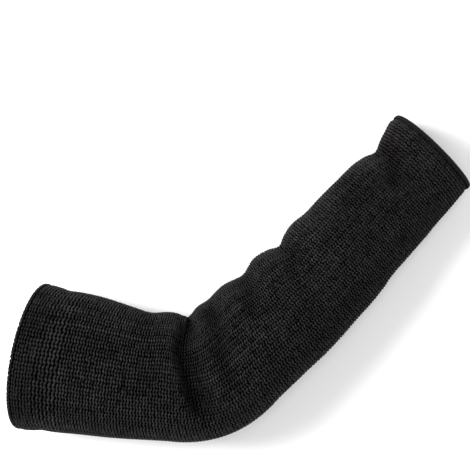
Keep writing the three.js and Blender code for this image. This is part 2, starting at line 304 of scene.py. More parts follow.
def section_sizes(place):
    """Half widths towards and away from the inner elbow, and the height, at a place."""
    upper, fore = np.clip(-place, 0, 1), np.clip(place - 1, 0, 1)
    width = blend(blend(ELBOW_WIDTH, HEM_WIDTH, upper), WRIST_WIDTH, fore)
    height = blend(blend(ELBOW_HEIGHT, HEM_HEIGHT, upper), WRIST_HEIGHT, fore)
    return (
        section_share(place, "inner") * width / 2,
        section_share(place, "outer") * width / 2,
        section_share(place, "height") * height,
    )


def rest_on_surface(z):
    """A height held above the resting surface: a parabola joins the flat to the free side."""
    curve = (z + REST_SOFTNESS) ** 2 / (4 * REST_SOFTNESS)
    return np.where(z <= -REST_SOFTNESS, 0, np.where(z >= REST_SOFTNESS, z, curve))


def fold_depth(points):
    """How deep the folds press in at points of the plan: a bell across each fold's path, with its own reach on
    either side, summed over the folds."""
    depth = np.zeros(points.shape[:-1])
    for _, depths, reaches, path in FOLDS:
        path = np.array(path)
        middle, _, inward = middle_line(length_at(path[:, 0]))
        inner, outer, _ = section_sizes(path[:, 0])
        half = np.where(path[:, 1] > 0, inner, outer)
        corners = middle + inward * (path[:, 1] * half)[:, None]
        nearest = np.full(depth.shape, np.inf)
        side, share = np.ones(depth.shape), np.zeros(depth.shape)
        for leg, (a, b) in enumerate(zip(corners[:-1], corners[1:])):
            run = b - a
            t = np.clip((points - a) @ run / (run @ run), 0, 1)
            off = points - a - t[..., None] * run
            distance = np.hypot(off[..., 0], off[..., 1])
            closer = distance < nearest
            nearest = np.where(closer, distance, nearest)
            side = np.where(closer, run[0] * off[..., 1] - run[1] * off[..., 0], side)
            share = np.where(closer, (leg + t) / (len(corners) - 1), share)
        reach = np.where(side < 0, *reaches) * ELBOW_WIDTH
        depth += blend(*depths, share) * ELBOW_HEIGHT * np.exp(-((nearest / reach) ** 2))
    return depth


def skin_points(lengths, count):
    """Rows of evenly spaced points round the outer face of the cloth, one row for each length, and how deep the
    folds press in there. The section is an oval whose underside is flattened where it rests. The folds press it
    in along its own normal, and then the rows near the open ends lean along the tube."""
    place = place_at(lengths)
    middle, ahead, inward = middle_line(lengths)
    inner, outer, height = (size[:, None] for size in section_sizes(place))
    angle = np.linspace(0, TAU, SECTION_SAMPLES + 1)[None]
    across = np.where(np.cos(angle) > 0, inner, outer) * np.cos(angle)
    up = rest_on_surface(height * SECTION_DROP + height * (1 - SECTION_DROP) * np.sin(angle))
    step = np.hypot(np.diff(across), np.diff(up))
    travelled = np.concatenate([np.zeros((len(lengths), 1)), np.cumsum(step, 1)], 1)
    row = np.arange(len(lengths))[:, None]
    reached = (row + travelled / travelled[:, -1:] * (1 - 1e-9)).ravel()
    wanted = (row + np.arange(count)[None] / count).ravel()
    across = np.interp(wanted, reached, across.ravel()).reshape(-1, count)
    up = np.interp(wanted, reached, up.ravel()).reshape(-1, count)
    turn_across, turn_up = change_round(across), change_round(up)
    turn = np.maximum(np.hypot(turn_across, turn_up), 1e-12)
    plan = middle[:, None] + inward[:, None] * across[..., None]
    clear = smoothstep(up, height * FOLD_FADE_LOW, height * FOLD_FADE_HIGH)
    depth = clear * smoothed(fold_depth(plan), FOLD_PASSES)
    plan = plan - inward[:, None] * (turn_up / turn * depth)[..., None]
    z = up + turn_across / turn * depth
    tilt, sideways = up / height, across / np.where(across > 0, inner, outer)
    near_hem = 1 - smoothstep(lengths, 0, HEM_LEAN_RUN)[:, None]
    near_wrist = smoothstep(lengths, WHOLE_LENGTH - WRIST_LEAN_RUN, WHOLE_LENGTH)[:, None]
    out = near_wrist * (WRIST_LEAN * tilt + WRIST_SLANT * sideways)
    out -= near_hem * (HEM_LEAN * tilt + HEM_SLANT * sideways)
    plan = plan + ahead[:, None] * out[..., None]
    return np.concatenate([plan, z[..., None]], -1), depth


def grid_normals(points):
    """Outward normals of a grid of points: the turn round the tube crossed with the run along it."""
    return unit(np.cross(change_round(points), np.gradient(points, axis=0)))


def smoothed(grid, passes):
    """A grid averaged with its neighbours, again and again."""
    for _ in range(passes):
        beside = np.roll(grid, 1, 1) + np.roll(grid, -1, 1)
        after = np.concatenate([grid[1:], grid[-1:]])
        before = np.concatenate([grid[:1], grid[:-1]])
        grid = (4 * grid + beside + after + before) / 8
    return grid


def read_grid(grid, row, column):
    """Values of a grid between its points, straight between neighbours. Columns go round, rows stop at the ends."""
    row, column = np.broadcast_arrays(row, column)
    row = np.clip(row, 0, len(grid) - 1 - 1e-6)
    low, left = np.floor(row).astype(int), np.floor(column).astype(int)
    t, u = row - low, column - left
    width = grid.shape[1]
    left, right = left % width, (left + 1) % width
    if grid.ndim == 3:
        t, u = t[..., None], u[..., None]
    upper = blend(grid[low, left], grid[low, right], u)
    return blend(upper, blend(grid[low + 1, left], grid[low + 1, right], u), t)


class Patch:
    """A band of cloth as a grid of points, which can be read between them. Each row goes round the tube."""

    def __init__(self, points):
        self.points = points
        self.normals = smoothed(grid_normals(points), NORMAL_PASSES)

    def at(self, row, column, over):
        """Points at a height over the patch, and its normals there."""
        normal = unit(read_grid(self.normals, row, column))
        return read_grid(self.points, row, column) + normal * np.asarray(over)[..., None], normal


class Skin:
    """The outer face of the cloth over the whole sleeve, from the hem's rim to the wrist's, ready to be read at
    any length and any wale."""

    def __init__(self, wales):
        self.wales = wales
        count = int(WHOLE_LENGTH * ROWS_A_METRE)
        self.lengths = np.linspace(0, WHOLE_LENGTH, count)
        points, self.pressed = skin_points(self.lengths, wales * COLUMNS_A_WALE)
        # The plan is moved so that the tube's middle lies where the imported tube's does
        low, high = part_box("knit_tube")
        tube = points[(self.lengths >= CLOTH_START) & (self.lengths <= CLOTH_END)]
        own = (tube.min((0, 1)) + tube.max((0, 1)))[:2] / 2
        points[..., :2] += np.array((low + high) / 2)[:2] - own
        self.patch = Patch(points)

    def row(self, length):
        """The row of the grid, with its fraction, at a length."""
        return length / WHOLE_LENGTH * (len(self.lengths) - 1)

    def at(self, length, wale, over):
        """Points at a height over the skin, and the skin's normals there."""
        return self.patch.at(self.row(length), wale * COLUMNS_A_WALE, over)

    def shade(self, length, wale):
        """How much of its tone the cloth keeps under painted shade where it is pressed in: one on the open cloth,
        less in a valley.
        """
        pressed = read_grid(self.pressed, self.row(length), wale * COLUMNS_A_WALE)
        return 1 - VALLEY_SHADE * np.clip(pressed / VALLEY_DEPTH, 0, 1)

    def band(self, outline, samples):
        """A patch that follows an outline of (length, height over the skin) points right round the tube, sampled
        evenly along the outline."""
        outline = np.array(outline)
        step = np.hypot(*np.diff(outline, axis=0).T)
        travelled = np.concatenate([[0], np.cumsum(step)])
        wanted = np.linspace(0, travelled[-1], samples)
        length, over = (np.interp(wanted, travelled, outline[:, k])[:, None] for k in (0, 1))
        column = np.arange(self.wales * COLUMNS_A_WALE)[None] / COLUMNS_A_WALE
        return Patch(on_floor(self.at(length, column, over)[0]))


def even_stretch(step, pull, wanted):
    """How far each wale's courses are stretched at the elbow, so that they fill its cloth in the wanted length.
    A place's courses are 1 + stretch * pull times as long as the plain ones, and the stretch is closed in on by
    halving."""
    low, high = (np.full(step.shape[1], limit) for limit in STRETCH_LIMITS)
    for _ in range(HALVINGS):
        stretch = (low + high) / 2
        many = (step / (1 + stretch * pull)).sum(0) > wanted
        low, high = np.where(many, stretch, low), np.where(many, high, stretch)
    return stretch


def course_lengths(skin, sizes):
    """The length at which each course crosses each wale. Before and past the elbow the courses are evenly spaced
    along the middle line. Between, each wale has as many courses as the others, spaced along its own cloth, and
    the spacing grows or shrinks smoothly towards the elbow."""
    start, end = length_at(EVEN_FROM_PLACE), length_at(EVEN_TO_PLACE)
    pitch = sizes.course_pitch
    before = round(float((start - KNIT_START) / pitch))
    after = round(float((CLOTH_END - end) / pitch))
    inside = (skin.lengths >= start) & (skin.lengths <= end)
    lengths = skin.lengths[inside]
    wales = skin.patch.points[inside][:, ::COLUMNS_A_WALE]
    step = np.linalg.norm(np.diff(wales, axis=0), axis=-1)
    middle = (lengths[1:] + lengths[:-1]) / 2
    pull = np.sin(math.pi * (middle - start) / (end - start))[:, None] ** 2
    between = round(float(np.percentile(step.sum(0), EVEN_PERCENTILE) / pitch))
    stretch = even_stretch(step, pull, between * pitch)
    courses = np.cumsum(step / (1 + stretch * pull), 0)
    courses = np.concatenate([np.zeros((1, skin.wales)), courses / courses[-1]])
    wale = np.arange(skin.wales)[:, None]
    reached = (wale + courses.T * (1 - 1e-9)).ravel()
    wanted = (wale + np.arange(1, between)[None] / between).ravel()
    spaced = np.interp(wanted, reached, np.tile(lengths, skin.wales)).reshape(skin.wales, -1).T
    rows_before = np.linspace(KNIT_START, start, before + 1)[:, None]
    rows_after = np.linspace(end, CLOTH_END, after + 1)[:, None]
    rows_before, rows_after = (np.repeat(rows, skin.wales, 1) for rows in (rows_before, rows_after))
    return np.concatenate([rows_before, spaced, rows_after])


# Meshes


def new_piece(name, points, faces, material, nodes=(), maps=None, tone=None):
    """A smooth mesh object from arrays of points and of faces, each array of faces with its own number of
    corners. maps holds UV maps by name, in the faces' order, and tone a value for each point."""
    mesh = bpy.data.meshes.new(name)
    mesh.vertices.add(len(points))
    mesh.vertices.foreach_set("co", points.astype(np.float32).ravel())
    corners = np.concatenate([f.ravel() for f in faces]).astype(np.int32)
    counts = np.concatenate([np.full(len(f), f.shape[1]) for f in faces])
    mesh.loops.add(len(corners))
    mesh.loops.foreach_set("vertex_index", corners)
    mesh.polygons.add(len(counts))
    mesh.polygons.foreach_set("loop_start", (np.cumsum(counts) - counts).astype(np.int32))
    mesh.update(calc_edges=True)
    mesh.shade_smooth()
    for label, places in (maps or {}).items():
        layer = mesh.uv_layers.new(name=label)
        layer.uv.foreach_set("vector", places.astype(np.float32).ravel())
    if tone is not None:
        mesh.attributes.new("tone", "FLOAT", "POINT").data.foreach_set("value", tone.astype(np.float32).ravel())
    mesh.materials.append(material)
    piece = bpy.data.objects.new(name, mesh)
    bpy.context.scene.collection.objects.link(piece)
    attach(piece, "root")
    if nodes:
        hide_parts(*nodes)
    return piece


def ring_faces(rows, columns):
    """Quads between a closed loop of closed rows, such as a hollow tube's outer face and its inner face back."""
    i, j = np.meshgrid(np.arange(rows), np.arange(columns), indexing="ij")
    after, step = (i + 1) % rows * columns, (j + 1) % columns
    i = i * columns
    return np.stack([i + j, i + step, after + step, after + j], -1).reshape(-1, 4)


def ellipse_rings(centres, normals, run, wide, high, sides):
    """Rings of points about centres, each an ellipse across the run, with these half widths and half heights."""
    run = unit(run)
    beside = unit(np.cross(normals, run))
    raised = np.cross(run, beside)
    angle = np.arange(sides) / sides * TAU
    return centres[..., None, :] + (
        beside[..., None, :] * (wide[..., None] * np.cos(angle))[..., None]
        + raised[..., None, :] * (high[..., None] * np.sin(angle))[..., None]
    )


# A yarn leg is a spindle of rings of points between two tips
LEG_RINGS = 4
LEG_SIDES = 6
LEG_POINTS = 2 + LEG_RINGS * LEG_SIDES

# The free share of a leg's cell in the bake map
CELL_MARGIN = 0.08


def leg_template():
    """Faces of one leg, and each corner's place on it: its share of the turn and of the length."""
    quads, tips, quad_map, tip_map = [], [], [], []
    run = np.arange(LEG_RINGS + 2) / (LEG_RINGS + 1)
    for side in range(LEG_SIDES):
        left, right, middle = side / LEG_SIDES, (side + 1) / LEG_SIDES, (side + 0.5) / LEG_SIDES
        after = (side + 1) % LEG_SIDES
        for ring in range(LEG_RINGS - 1):
            low, high = 1 + ring * LEG_SIDES, 1 + (ring + 1) * LEG_SIDES
            start, end = run[ring + 1], run[ring + 2]
            quads.append((low + side, low + after, high + after, high + side))
            quad_map.append([(left, start), (right, start), (right, end), (left, end)])
        last = 1 + (LEG_RINGS - 1) * LEG_SIDES
        tips.append((0, 1 + after, 1 + side))
        tip_map.append([(middle, run[0]), (right, run[1]), (left, run[1])])
        tips.append((LEG_POINTS - 1, last + side, last + after))
        tip_map.append([(middle, run[-1]), (left, run[-2]), (right, run[-2])])
    return np.array(quads), np.array(tips), np.array(quad_map), np.array(tip_map)


def legs_mesh(centres, normals, wide, high):
    """Points of many legs. centres and normals have an axis of places along each leg, wide and high its half
    thicknesses there. The first and last places are its tips."""
    rings = ellipse_rings(centres, normals, np.gradient(centres, axis=-2), wide, high, LEG_SIDES)
    body = rings[..., 1:-1, :, :].reshape(*centres.shape[:-2], -1, 3)
    return np.concatenate([centres[..., :1, :], body, centres[..., -1:, :]], -2).reshape(-1, 3)


def leg_faces_and_maps(cell, cells_wide, cells_high):
    """Faces of many legs, their bake map, where each leg has a cell of its own, and their yarn map, along and
    round the yarn."""
    quads, tips, quad_map, tip_map = leg_template()
    first = (np.arange(len(cell)) * LEG_POINTS)[:, None, None]
    faces = [(quads[None] + first).reshape(-1, 4), (tips[None] + first).reshape(-1, 3)]
    cells = np.array([cells_wide, cells_high])
    bake, yarn = [], []
    for places in (quad_map, tip_map):
        inset = cell[:, None, None] + CELL_MARGIN / 2 + places * (1 - CELL_MARGIN)
        bake.append((inset / cells).reshape(-1, 2))
        yarn.append(np.broadcast_to(places, inset.shape).reshape(-1, 2))
    return faces, {"OFBake": np.concatenate(bake), "Yarn": np.concatenate(yarn)}


# Where a leg of a V lies in its stitch, at six places from the V's point upwards. The columns are a share of the
# wale across from its middle, a share of the course along, how far the leg dips, its thickness, and how much of
# its tone it keeps there, the rest being painted shade where it dips under its neighbours.
LEG_SHAPE = np.array(
    [
        (-0.04, -0.14, 0.9, 0.0, 0.2),
        (0.07, 0.02, 0.3, 0.8, 0.65),
        (0.19, 0.19, 0.02, 1.0, 1.0),
        (0.3, 0.36, 0.05, 0.96, 1.0),
        (0.42, 0.52, 0.4, 0.78, 0.6),
        (0.55, 0.71, 1.1, 0.0, 0.1),
    ]
)

# Cloth pressed in this deep or deeper is darkened with painted shade, losing this share of its tone
VALLEY_DEPTH, VALLEY_SHADE = 0.003, 0.75

# The welt keeps this part of its tone, and its rolled rim loses this much more of it, as painted shade, over this
# reach in courses. Painted shade darkens the groove beside the welt too.
WELT_SHADE, RIM_SHADE, RIM_REACH = 0.34, 0.8, 0.9
GROOVE_SHADE = 0.45

# The V's are flatter on the upper arm and the welt, where the knit is stretched wide, than on the forearm. They
# flatten towards the middle of the leg.
UPPER_ARM_STEEPNESS, WELT_STEEPNESS = 0.68, 0.55
STEEP_FROM_PLACE, STEEP_TO_PLACE = -0.35, 0.5
LEG_MIDDLE = 0.29

# The spread of the stitches' shifts, of their thickness and of their legs' tone about the middle tone
DRIFT, SWELL, TONE_MIDDLE, TONE_SPREAD = 0.04, 0.07, 0.5, 0.17

# How much the columns of legs differ in tone all along the sleeve, and the share of it by which they are thicker
STREAK, STREAK_SEED, STREAK_SWELL = 0.07, 5, 0.5

# A leg's room is its course's length, up to this share of its wale's width. Its height is a share of its width,
# up to a share of the stitches' depth, and it stays this much clear of the skin.
ROOM_ACROSS, LEG_FLATNESS, LEG_HEIGHT, LEG_CLEARANCE = 1.2, 0.95, 0.55, 1.02

# The ground lies this share of the stitches' depth under the skin
GROUND_SHARE = 0.84

# One side of each stitch sits further along than the other, by this share of a course
STITCH_LEAN = 0.1

# The middle of a stitch, as a share of its course
STITCH_MIDDLE = 0.3


def stitch_legs(place_of, shade_of, steepness, courses, wales, depth, fullness, seed):
    """Points, faces, maps and tones of both legs of every stitch of a block of courses. place_of turns courses
    and wales into points and normals at a height over the skin, and shade_of into the part of its tone that a
    stitch keeps under painted shade. steepness is one for a full V and less for a flatter one. A seeded draw shifts
    and swells each stitch and tones each leg a little, and painted shade darkens each leg where it dips. A leg is as
    thick as its course has room for, times the fullness."""
    rng = np.random.default_rng(seed)
    course, wale = np.meshgrid(courses, wales, indexing="ij")
    shape = course.shape
    drift = rng.normal(0, DRIFT, shape + (2,))
    streak = np.random.default_rng(STREAK_SEED).normal(0, STREAK, (1, len(wales), 2))
    swell = 1 + rng.normal(0, SWELL, shape)[..., None] + STREAK_SWELL * streak
    tone = np.clip(rng.normal(TONE_MIDDLE, TONE_SPREAD, shape + (2,)) + streak, 0, 1)
    # Painted shade: the valleys, the groove beside the welt and the welt's rim darken the stitches' tone
    tone *= shade_of(course, wale + 0.5)[..., None]
    side = np.array([-1.0, 1.0])
    across, along, sink, thick, tone_after_painted_shade = LEG_SHAPE.T
    w = (wale + 0.5 + drift[..., 0])[..., None, None] + side[:, None] * across
    c = (course + drift[..., 1])[..., None, None] + side[:, None] * across * STITCH_LEAN
    c = c + blend(LEG_MIDDLE, along, steepness[..., None, None])
    middle_course, middle_wale = course + STITCH_MIDDLE, wale + 0.5
    below, _ = place_of(middle_course - 0.5, middle_wale, 0)
    above, _ = place_of(middle_course + 0.5, middle_wale, 0)
    left, _ = place_of(middle_course, middle_wale - 0.5, 0)
    right, _ = place_of(middle_course, middle_wale + 0.5, 0)
    long, broad = np.linalg.norm(above - below, axis=-1), np.linalg.norm(right - left, axis=-1)
    room = np.minimum(long, ROOM_ACROSS * broad)
    wide = 0.5 * fullness * (room[..., None] * swell)[..., None] * thick
    high = np.minimum(wide * LEG_FLATNESS, depth * LEG_HEIGHT)
    over = -np.maximum(depth * (0.5 + 0.5 * sink), high * LEG_CLEARANCE)
    centres, normals = place_of(c, w, over)
    points = on_floor(legs_mesh(centres, normals, wide, high))
    columns = (wale - wales[0])[..., None] * 2 + (side > 0)
    rows = np.broadcast_to((course - courses[0])[..., None], columns.shape)
    cell = np.stack([columns, rows], -1).reshape(-1, 2)
    faces, maps = leg_faces_and_maps(cell, 2 * len(wales), len(courses))
    # Painted shade: each leg's tone falls where it dips under its neighbours
    tone_after_painted_shade = np.repeat(tone_after_painted_shade, [1] + [LEG_SIDES] * LEG_RINGS + [1])
    return points, faces, maps, tone.ravel()[:, None] * tone_after_painted_shade


# A thread's section, and how thick its open ends stay
THREAD_SIDES, END_THICKNESS = 4, 0.5


def tube_along(centres, normals, wide, high, closed):
    """Points and faces of many threads with an elliptical section. centres and normals have an axis of places
    along each thread. A closed thread joins its ends, and an open one narrows to a flat cap at each."""
    count, places = centres.shape[:2]
    run = change_round(centres) if closed else np.gradient(centres, axis=1)
    size = np.ones(places)
    if not closed:
        size[[0, -1]] = END_THICKNESS
    points = ellipse_rings(centres, normals, run, wide * size, high * size, THREAD_SIDES)
    i, j = np.meshgrid(np.arange(places if closed else places - 1), np.arange(THREAD_SIDES), indexing="ij")
    after, step = (i + 1) % places * THREAD_SIDES, (j + 1) % THREAD_SIDES
    quads = np.stack([i * THREAD_SIDES + j, i * THREAD_SIDES + step, after + step, after + j], -1).reshape(-1, 4)
    if not closed:
        ends = np.arange(THREAD_SIDES)
        quads = np.concatenate([quads, [ends[::-1], ends + (places - 1) * THREAD_SIDES]])
    first = np.arange(count)[:, None, None] * places * THREAD_SIDES
    return points.reshape(-1, 3), (quads[None] + first).reshape(-1, 4)


# Shader maths


class Value:
    """A shader socket that takes part in Python expressions. Each operation adds a Math node."""

    def __init__(self, shader, socket):
        self.shader, self.socket = shader, socket

    def _math(self, operation, *values):
        return self.shader.node("ShaderNodeMath", {"operation": operation}, dict(enumerate(values)))

    def __add__(self, other):
        return self._math("ADD", self, other)

    def __radd__(self, other):
        return self._math("ADD", other, self)

    def __sub__(self, other):
        return self._math("SUBTRACT", self, other)

    def __rsub__(self, other):
        return self._math("SUBTRACT", other, self)

    def __mul__(self, other):
        return self._math("MULTIPLY", self, other)

    def __rmul__(self, other):
        return self._math("MULTIPLY", other, self)

    def __pow__(self, other):
        return self._math("POWER", self, other)

    def sine(self):
        return self._math("SINE", self)


class Shader:
    """A material's node tree, with one method for every kind of node."""

    def __init__(self, name):
        self.material = bpy.data.materials.new(name)
        self.material.use_nodes = True
        self.tree = self.material.node_tree
        self.tree.nodes.clear()
        self.place = self.node("ShaderNodeTexCoord", output="Object")

    def node(self, kind, settings=None, inputs=None, output=0):
        """A new node: its settings first, then values or links for its sockets, and the output asked for."""
        node = self.tree.nodes.new(kind)
        for key, value in (settings or {}).items():
            setattr(node, key, value)
        for key, value in (inputs or {}).items():
            socket = node.inputs[key]
            if isinstance(value, Value):
                self.tree.links.new(value.socket, socket)
            else:
                socket.default_value = value
        return Value(self, node.outputs[output]) if node.outputs else None

    def mix(self, a, b, amount):
        """A colour between two, each a socket or three numbers, as a Mix node in colour mode."""
        a, b = (c if isinstance(c, Value) else (*c, 1) for c in (a, b))
        settings = {"data_type": "RGBA", "blend_type": "MIX"}
        return self.node("ShaderNodeMix", settings, {0: amount, 6: a, 7: b}, output=2)

    def noise(self, scale, detail):
        """Soft noise from 0 to 1, finer with a larger scale."""
        return self.node("ShaderNodeTexNoise", {}, {"Vector": self.place, "Scale": scale, "Detail": detail})

    def bump(self, height, strength, distance):
        """A normal that stands out with the height."""
        inputs = {"Strength": strength, "Distance": distance, "Height": height}
        return self.node("ShaderNodeBump", {}, inputs)

    def finish(self, **inputs):
        """The surface: a Principled BSDF with these sockets, linked to the output."""
        named = {key.replace("_", " "): value for key, value in inputs.items()}
        surface = self.node("ShaderNodeBsdfPrincipled", {}, named)
        self.node("ShaderNodeOutputMaterial", {}, {"Surface": surface})
        return self.material


# Plies in the yarn, their turns along a leg, and how strongly they and the fibre stand out
YARN_PLIES, YARN_TWISTS, YARN_RELIEF = 2, 2.0, 0.5


def yarn_material(name, colours):
    """Matt spun yarn: each stitch has its own tone, which carries painted shade in folds, in the groove, at the
    welt's rim and where its legs dip; patches of the cloth are paler or darker, fine fibres fleck it, and the plies
    turn round it as slanting ridges."""
    shader = Shader(name)
    tone = shader.node("ShaderNodeAttribute", {"attribute_name": "tone"}, output="Fac")
    patch = shader.noise(scale=38.0, detail=3.0)
    fibre = shader.noise(scale=5200.0, detail=2.0)
    amount = 0.9 * tone + 0.5 * patch + 0.5 * fibre - 0.5
    colour = shader.mix(colours.yarn_dark, colours.yarn_light, amount)
    warm = shader.noise(scale=17.0, detail=1.0)
    colour = shader.mix(colour, colours.yarn_warm, 0.9 * warm**2)
    yarn = shader.node("ShaderNodeUVMap", {"uv_map": "Yarn"})
    turn, along = (shader.node("ShaderNodeSeparateXYZ", {}, {0: yarn}, output=part) for part in "XY")
    ply = (TAU * (YARN_PLIES * turn + YARN_TWISTS * along)).sine()
    return shader.finish(
        Base_Color=colour,
        Roughness=0.5 + 0.2 * fibre,
        Normal=shader.bump(0.6 * ply + fibre, strength=YARN_RELIEF, distance=0.00025),
        Specular_IOR_Level=0.1,
        Sheen_Weight=0.015,
        Sheen_Roughness=0.4,
    )


def ground_material(name, colours):
    """The back of the knit, seen between the stitches and inside the tube: the same yarn, painted dark as the shade
    between and under the stitches, with fibre relief."""
    shader = Shader(name)
    fibre = shader.noise(scale=2600.0, detail=3.0)
    patch = shader.noise(scale=60.0, detail=2.0)
    return shader.finish(
        Base_Color=shader.mix(colours.ground_painted_shade, colours.yarn_dark, 0.3 * fibre + 0.2 * patch),
        Roughness=0.85 + 0.1 * fibre,
        Normal=shader.bump(fibre, strength=0.5, distance=0.0003),
        Specular_IOR_Level=0.0,
    )


def thread_material(name, dark, light):
    """Smooth sewing thread, flecked between two tones along its length."""
    shader = Shader(name)
    fibre = shader.noise(scale=3400.0, detail=2.0)
    patch = shader.noise(scale=90.0, detail=2.0)
    return shader.finish(
        Base_Color=shader.mix(dark, light, 0.5 * fibre + 0.5 * patch),
        Roughness=0.5 + 0.15 * fibre,
        Normal=shader.bump(fibre, strength=0.4, distance=0.0002),
        Specular_IOR_Level=0.2,
    )


def floor_material(name, colours):
    """A plain pale surface with a faint unevenness in its roughness."""
    shader = Shader(name)
    cloud = shader.noise(scale=3.0, detail=2.0)
    return shader.finish(Base_Color=(*colours.floor, 1), Roughness=0.8 + 0.1 * cloud)


# What a user may change


def count_property(name, description, default, low, high):
    """A whole number that a user may set."""
    return IntProperty(name=name, description=description, default=default, min=low, max=high)


def length_property(name, description, default):
    """A length that a user may set."""
    return FloatProperty(name=name, description=description, default=default, unit="LENGTH")


class SleeveSizes(PropertyGroup):
    wales: count_property("Wales", "Columns of stitches round the tube", 48, 12, 200)
    course_pitch: length_property("Course pitch", "Length of one row of stitches along the sleeve", 0.0026)
    stitch_depth: length_property("Stitch depth", "How deep the stitches' relief goes into the cloth", 0.0016)
    fullness: FloatProperty(
        name="Stitch fullness",
        description="Thickness of a leg of a stitch, as a share of the room in its course",
        default=0.7,
        min=0.1,
        max=1.0,
        subtype="FACTOR",
    )
    welt_courses: count_property("Welt courses", "Rows of stitches on each face of the turned welt", 8, 2, 20)
    wraps: count_property("Overlock wraps", "Turns of thread round the wrist's edge", 150, 20, 400)
    thread: length_property("Overlock thread", "Thickness of the overlock's thread", 0.0008)


def tone_property(name, description, default):
    """A colour that a user may pick."""
    return FloatVectorProperty(
        name=name, description=description, subtype="COLOR", size=3, min=0, max=1, default=default
    )


class SleeveColours(PropertyGroup):
    yarn_dark: tone_property("Dark yarn", "The yarn's darkest tone", (0.0012, 0.0011, 0.0012))
    yarn_light: tone_property("Light yarn", "The yarn's palest tone", (0.0355, 0.0344, 0.0352))
    yarn_warm: tone_property("Warm cast", "A faint brown cast of some patches", (0.0075, 0.005, 0.0053))
    # The ground's colour is painted shade: the yarn made far darker where it shows between the stitches
    ground_painted_shade: tone_property("Ground", "The dark between the stitches", (0.0003, 0.0003, 0.0003))
    edging: tone_property("Edging thread", "The palest tone of the thread round the edge", (0.011, 0.0095, 0.01))
    rim: tone_property("Rim thread", "The palest tone of the thread along the rim", (0.05, 0.036, 0.026))
    floor: tone_property("Floor", "Colour of the surface below", (0.92, 0.92, 0.92))


class Knit:
    """What the operators share: the skin, the courses and the materials, worked out once."""

    def __init__(self, scene):
        sizes, colours = scene.sleeve_sizes, scene.sleeve_colours
        self.sizes = sizes
        self.skin = Skin(sizes.wales)
        self.ground_wales = np.arange(sizes.wales * GROUND_COLUMNS_A_WALE)[None] / GROUND_COLUMNS_A_WALE
        self.courses = course_lengths(self.skin, sizes)
        self.count = len(self.courses) - 1
        self.yarn = yarn_material("black_yarn", colours)
        self.ground = ground_material("yarn_ground", colours)
        self.thread = thread_material("edging_thread", colours.yarn_dark, colours.edging)
        self.rim_thread = thread_material("rim_thread", colours.yarn_warm, colours.rim)

    def groove(self, length):
        """A bell along the tube, one in the middle of the groove beside the welt."""
        return np.exp(-(((length - GROOVE_MIDDLE) / WELT_GROOVE_REACH) ** 2))

    def tube_place(self, course, wale, over):
        """Points and normals over the tube for courses and wales."""
        length = read_grid(self.courses, course, wale)
        beyond = np.clip(course - self.count, 0, None) - np.clip(-course, 0, None)
        length = length + beyond * self.sizes.course_pitch
        drawn = smoothstep(length, EDGING_START - OVERLOCK_WIDTH, EDGING_START) * (OVERLOCK_THREAD + SEAM_GAP)
        return self.skin.at(length, wale, over - drawn - WELT_GROOVE * self.groove(length))

    def tube_shade(self, course, wale):
        """The part of its tone that a stitch keeps under painted shade, which darkens it in valleys and in the
        groove beside the welt.
        """
        length = read_grid(self.courses, course, wale)
        return self.skin.shade(length, wale) * (1 - GROOVE_SHADE * self.groove(length))

    def top_lengths(self):
        """The courses' lengths along the middle of the top."""
        return self.courses[:, self.skin.wales // 4]

    def steepness(self, courses):
        """How steep the V's are in each course, from the upper arm's to the forearm's."""
        place = place_at(self.top_lengths()[courses])
        return blend(UPPER_ARM_STEEPNESS, 1, smoothstep(place, STEEP_FROM_PLACE, STEEP_TO_PLACE))

    def course_of(self, place):
        """The course nearest to a place, on the middle of the top."""
        return int(np.argmin(np.abs(self.top_lengths() - length_at(place))))


# The ground's operator fills this for those after it
shared = {}


class SLEEVE_OT_ground(Operator):
    """Lays the continuous wall under the stitches, with the purl ridges of its back on the inside"""

    bl_idname = "sleeve.ground"
    bl_label = "Lay the ground"

    def execute(self, context):
        knit = shared["knit"] = Knit(context.scene)
        wale = knit.ground_wales
        outside = np.maximum(np.arange(-1, knit.count + 1), TUCKED_COURSES)[:, None]
        outer, _ = knit.tube_place(outside, wale, -GROUND_SHARE * knit.sizes.stitch_depth)
        inside = np.maximum(np.arange(-1, 2 * knit.count + 1) / 2, TUCKED_COURSES)[::-1, None]
        ridge = PURL_RIDGE * (1 - 2 * (np.arange(len(inside)) % 2))[:, None]
        inner, _ = knit.tube_place(inside, wale, -(CLOTH_THICKNESS + ridge))
        points = np.concatenate([outer, inner]).reshape(-1, 3)
        faces = ring_faces(len(outer) + len(inner), wale.size)
        new_piece("knit_ground", points, [faces], knit.ground, nodes=["knit_tube"])
        return {"FINISHED"}


# The blocks that the stitches are knitted in, and the place where the elbow's starts
BLOCKS = ("upper_arm", "elbow", "forearm_top", "forearm_middle", "wrist")
ELBOW_BLOCK_PLACE = -0.12


class SLEEVE_OT_stitches(Operator):
    """Knits the tube's stitches, in blocks of courses from the welt to the wrist"""

    bl_idname = "sleeve.stitches"
    bl_label = "Knit the stitches"

    def execute(self, context):
        knit = shared["knit"]
        elbow, fore = knit.course_of(ELBOW_BLOCK_PLACE), knit.course_of(1.0)
        thirds = [round(blend(fore, knit.count, t)) for t in (1 / 3, 2 / 3)]
        edges = [0, elbow, fore, *thirds, knit.count]
        for seed, (name, first, last) in enumerate(zip(BLOCKS, edges[:-1], edges[1:])):
            points, faces, maps, tones = stitch_legs(
                knit.tube_place,
                knit.tube_shade,
                knit.steepness(np.arange(first, last))[:, None],
                np.arange(first, last),
                np.arange(knit.skin.wales),
                knit.sizes.stitch_depth,
                knit.sizes.fullness,
                seed,
            )
            new_piece(f"stitches_{name}", points, faces, knit.yarn, maps=maps, tone=tones)
        return {"FINISHED"}


# The welt's stitches beside the tube's: how deep and how full they are
WELT_DEPTH, WELT_FULLNESS, WELT_SEED = 0.7, 1.15, 11


